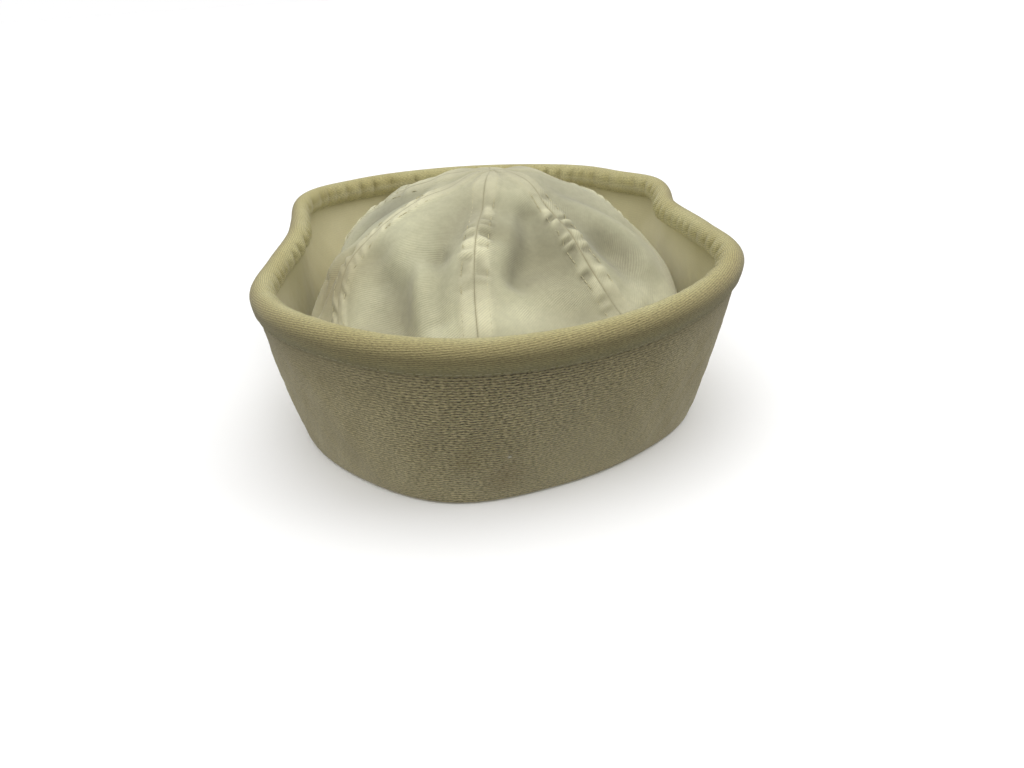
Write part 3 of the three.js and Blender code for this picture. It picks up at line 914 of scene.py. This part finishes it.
def crown_material():
    material = new_material("cotton_twill_white")
    cut = node(material, "TexCoord").outputs["UV"]
    body = node(material, "TexCoord").outputs["Object"]
    blotches = remap(material, noise(material, body, 26.0, 4.0, 0.6), 0.35, 0.68)
    tint = mix(material, linear(0xC9C7A6), linear(0xBEBB9A), blotches)
    bands = node(material, "Attribute", attribute_name="seam_plies").outputs["Fac"]
    tint = mix(material, tint, linear(0xD9D5B2), bands)
    # Painted shade and painted highlight: the cloth is darkened in the folds and between the puckers, and
    # lightened on the puffs that stand up.
    painted_shading = node(material, "Attribute", attribute_name="painted_shade_and_highlight").outputs["Fac"]
    tint = mix(material, tint, linear(0x8F8B72), remap(material, painted_shading, 0.0, 1.2, 0.0, 0.85))
    tint = mix(material, tint, linear(0xEAE6C6), remap(material, painted_shading, 0.0, -0.9, 0.0, 0.45))
    joins = node(material, "Attribute", attribute_name="seam_join").outputs["Fac"]
    tint = mix(material, tint, linear(0xA09878), joins)
    # Painted light: the crown is made lighter in its lower part, most below 46 mm, down between the brim's
    # walls.
    height = node(material, "SeparateXYZ", {}, {0: body}).outputs[2]
    tint = mix(material, tint, linear(0xE6E2C4), remap(material, height, 46.0 * MM, 72.0 * MM, 0.6, 0.0))
    # Patches of painted shade, then specks of lint.
    for tone_spot in CROWN_PAINTED_SHADE:
        look = dict(tone_spot)
        place = crown_point(look.pop("bearing"), quarter_at(look.pop("height")))
        tint = spot(material, tint, body, place, **look)
    for speck in CROWN_SPECKS:
        tint = spot(material, tint, body, **speck)
    threads = twill(material, cut, 0.85, 58)
    patches = remap(material, noise(material, body, 45.0, 2.0), 0.45, 0.65, 0.12, 1.0)
    shade = remap(material, multiply_add(material, threads, patches), 0.0, 1.0, 0.84, 1.06)
    tint = mix(material, tint, shade, 1.0, "MULTIPLY")
    mottle = remap(material, noise(material, body, 320.0, 5.0, 0.75), 0.35, 0.65, 0.93, 1.06)
    tint = mix(material, tint, mottle, 1.0, "MULTIPLY")
    height = multiply_add(material, threads, patches)
    height = multiply_add(material, noise(material, cut, 900.0), 0.5, height)
    return finish_cloth(material, tint, height, 0.09)


# %% [markdown]
# The brim's rows of stitches are two millimetres apart and pull the cloth into short ripples, like
# wind on water: light ridges a few millimetres long over small dark hollows. A wave texture of bands,
# bent by its own distortion and broken up by a noise that is stretched along the rows, gives them.

# %% The brim's stitched cloth
RIPPLE_LENGTH = 2.9
RIPPLE_ROW = 1.2
# The first spot is painted light, a broad lighter patch low on the front of the brim. The small brown ones
# are stains, and the last is a speck of lint.
BRIM_STAINS_AND_PAINTED_LIGHT = [
    dict(place=(10.0, -114.0, 18.0), size=50.0, colour=0xD6CCA2, strength=0.45, soft=0.0, flatten=1.0),
    dict(place=(-22.0, -113.0, 14.0), size=11.0, colour=0x8A7350, strength=0.35, soft=0.0),
    dict(place=(-36.0, -112.0, 24.0), size=9.0, colour=0x94834F, strength=0.3, soft=0.0),
    dict(place=(-20.5, -116.0, 24.6), size=1.0, colour=0xE8E4D0, strength=0.8),
]


# Painted light: broad lighter patches on the left and right inside walls of the brim.
PAINTED_LIGHT_INSIDE = [
    dict(place=(-94.0, -24.0, 38.0), size=48.0, colour=0xF4EED0, strength=0.9, soft=0.3, flatten=1.0),
    dict(place=(96.0, 2.0, 38.0), size=46.0, colour=0xF4EED0, strength=0.9, soft=0.3, flatten=1.0),
]
TIGHTEST_PULL = (-16.0, -113.0, 46.0)


def brim_material(name, light, dark, painted_shading, ripple, stains_and_painted_light):
    material = new_material(name)
    cut = node(material, "TexCoord").outputs["UV"]
    body = node(material, "TexCoord").outputs["Object"]
    blotches = remap(material, noise(material, body, 22.0, 4.0, 0.6), 0.35, 0.68)
    tint = mix(material, linear(light), linear(dark), blotches)
    height = node(material, "SeparateXYZ", {}, {0: body}).outputs[2]
    # Painted shade: the wall is darkened towards its top, under the hem's roll. Inside, the darker colour is
    # the inside's own darker tone, so the low inside wall is left lighter, as painted light.
    tint = mix(material, tint, linear(painted_shading), remap(material, height, 46.0 * MM, 66.0 * MM, 0.0, 0.45))
    rows = node(material, "TexWave", {"Scale": 0.314159 / (RIPPLE_ROW * MM), "Distortion": 2.0,
                                      "Detail": 2.0, "Detail Scale": 1.5}, {"Vector": cut},
                wave_type="BANDS", bands_direction="Y").outputs["Fac"]
    stretched = stretch(material, cut, RIPPLE_LENGTH, RIPPLE_ROW)
    broken = remap(material, noise(material, stretched, 1.0, 1.0), 0.4, 0.6)
    dashes = multiply_add(material, rows, 0.45, multiply_add(material, broken, 0.55))
    pull = remap(material, distance_from(material, body, TIGHTEST_PULL), 20.0 * MM, 78.0 * MM, 1.0, 0.3)
    # Painted shade: the cloth is also darkened round the front, where the pull is tightest, just below the
    # roll.
    tint = mix(material, tint, linear(painted_shading), remap(material, pull, 0.5, 1.0, 0.0, 0.4))
    dashes = multiply_add(material, multiply_add(material, dashes, 1.0, -0.5), pull)
    shade = remap(material, dashes, -0.5, 0.5, 1.0 - 0.8 * ripple, 1.0 + 0.8 * ripple)
    tint = mix(material, tint, shade, 1.0, "MULTIPLY")
    # Stains, and patches of painted light.
    for tone_spot in stains_and_painted_light:
        tint = spot(material, tint, body, **tone_spot)
    height = multiply_add(material, noise(material, cut, 1100.0, 2.0), 0.25, dashes)
    return finish_cloth(material, tint, height, 0.38 * ripple)


# %% The hem's twill
def hem_material():
    material = new_material("cotton_twill_yellowed")
    cut = node(material, "TexCoord").outputs["UV"]
    body = node(material, "TexCoord").outputs["Object"]
    blotches = remap(material, noise(material, body, 30.0, 4.0, 0.6), 0.35, 0.68)
    tint = mix(material, linear(0xB9B283), linear(0xABA16E), blotches)
    # Painted shade and wear: darker on the outer side of the roll and on the outer face.
    wear_and_painted_shade = node(material, "Attribute", attribute_name="wear_and_painted_shade").outputs["Fac"]
    tint = mix(material, tint, linear(0x9B9065), wear_and_painted_shade)
    # Painted light: lighter low on the inside, under the roll.
    painted_light = node(material, "Attribute", attribute_name="painted_light_under_roll").outputs["Fac"]
    tint = mix(material, tint, linear(0xD8D1A8), painted_light)
    yarns = noise(material, stretch(material, cut, 2.4, 0.8), 1.0, 2.0)
    threads = multiply_add(material, twill(material, cut, 0.85, 84), 0.4,
                           remap(material, yarns, 0.33, 0.67, 0.0, 0.6))
    shade = remap(material, threads, 0.15, 0.85, 0.62, 1.26)
    tint = mix(material, tint, shade, 1.0, "MULTIPLY")
    height = multiply_add(material, noise(material, cut, 900.0), 0.4, threads)
    return finish_cloth(material, tint, height, 0.14)


# %% The thread
def thread_material():
    material = new_material("cotton_thread")
    body = node(material, "TexCoord").outputs["Object"]
    fibres = noise(material, body, 2500.0, 2.0)
    tint = mix(material, linear(0xC8C29E), linear(0xB4AC84), remap(material, fibres, 0.35, 0.65))
    return finish_cloth(material, tint, fibres, 0.05)


crown_cotton = crown_material()
brim_cotton_outside = brim_material("cotton_quilted_yellowed", 0xC1B68C, 0xB1A57A, 0x8F8460, 1.0,
                                     BRIM_STAINS_AND_PAINTED_LIGHT)
brim_cotton_inside = brim_material("cotton_quilted_inside", 0xD6CFAA, 0xCBC49E, 0xCBC49E, 0.14,
                                    PAINTED_LIGHT_INSIDE)
hem_cotton = hem_material()
thread_cotton = thread_material()

for panel in panels:
    panel.data.materials.append(crown_cotton)
brim.data.materials.append(brim_cotton_outside)
brim.data.materials.append(brim_cotton_inside)
brim.modifiers["cloth_thickness"].material_offset = 1
hem.data.materials.append(hem_cotton)
for thread in [*seam_thread, hem_thread_outside, hem_thread_inside]:
    thread.data.materials.append(thread_cotton)

# %% [markdown]
# The studio is white all round: a matte floor, and far behind it a white dome that is lit evenly. Neither throws light back at the cap, as a cap cut out on white shows none. A very wide
# soft light hangs above and a little in front, and a smaller one from the left models the folds.

# %% Floor, backdrop and light
FLOOR_RADIUS = 8.4
DOME_RADIUS = 8.0


def make_stage(name, sheet, colour, glow):
    mesh = bpy.data.meshes.new(name)
    sheet.to_mesh(mesh)
    sheet.free()
    stage = bpy.data.objects.new(name, mesh)
    scene.collection.objects.link(stage)
    stage.visible_diffuse = False
    stage.visible_glossy = False
    stage.visible_shadow = False
    material = new_material(name + "_white")
    shader = node(material, "BsdfPrincipled", {"Base Color": linear(colour), "Roughness": 1.0,
                                               "Specular IOR Level": 0.0,
                                               "Emission Color": (1.0, 1.0, 1.0, 1.0),
                                               "Emission Strength": glow})
    node(material, "OutputMaterial", links={"Surface": shader.outputs[0]})
    mesh.materials.append(material)
    stage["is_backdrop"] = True


def make_sun(name, azimuth, elevation, strength, angle, colour=0xFFFFFF):
    light = bpy.data.lights.new(name, "SUN")
    light.energy = strength
    light.angle = math.radians(angle)
    light.color = linear(colour)[:3]
    sun = bpy.data.objects.new(name, light)
    scene.collection.objects.link(sun)
    a, e = math.radians(azimuth), math.radians(elevation)
    towards = Vector((math.cos(a) * math.cos(e), math.sin(a) * math.cos(e), math.sin(e)))
    sun.rotation_euler = towards.to_track_quat("Z", "Y").to_euler()


def make_world(strength):
    world = bpy.data.worlds.new("studio")
    world.use_nodes = True
    backdrop = world.node_tree.nodes["Background"]
    backdrop.inputs["Color"].default_value = linear(0xFFFFFF)
    backdrop.inputs["Strength"].default_value = strength
    scene.world = world


floor_sheet = bmesh.new()
bmesh.ops.create_circle(floor_sheet, cap_ends=True, radius=FLOOR_RADIUS, segments=96)
make_stage("floor", floor_sheet, 0xFAFAFA, 0.0)
dome_sheet = bmesh.new()
bmesh.ops.create_uvsphere(dome_sheet, u_segments=64, v_segments=32, radius=DOME_RADIUS)
bmesh.ops.reverse_faces(dome_sheet, faces=dome_sheet.faces)
make_stage("backdrop", dome_sheet, 0x101010, 1.0)
make_sun("overhead_screen", 270, 85, 2.0, 60)
make_sun("front_key", 265, 55, 0.25, 30)
make_sun("left_fill", 200, 46, 0.5, 40)
make_sun("right_fill", 345, 42, 0.55, 40)
make_world(0.3)
scene.view_settings.view_transform = "Standard"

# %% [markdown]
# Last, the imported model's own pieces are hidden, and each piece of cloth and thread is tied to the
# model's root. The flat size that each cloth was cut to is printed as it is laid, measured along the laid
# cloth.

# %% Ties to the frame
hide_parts("brim_band")
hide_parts("brim_hem")
for number, panel in enumerate(panels):
    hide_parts(f"crown_gore_{number + 1}")
for piece in [brim, hem, *panels, *seam_thread, hem_thread_outside, hem_thread_inside]:
    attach(piece, "root")

# %% Sizes of the frame and of the dressed cap
dressed_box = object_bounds()
for name, corners in (("frame", cad_box), ("dressed", dressed_box)):
    print(name, [tuple(round(c * 1000, 1) for c in corner) for corner in corners])
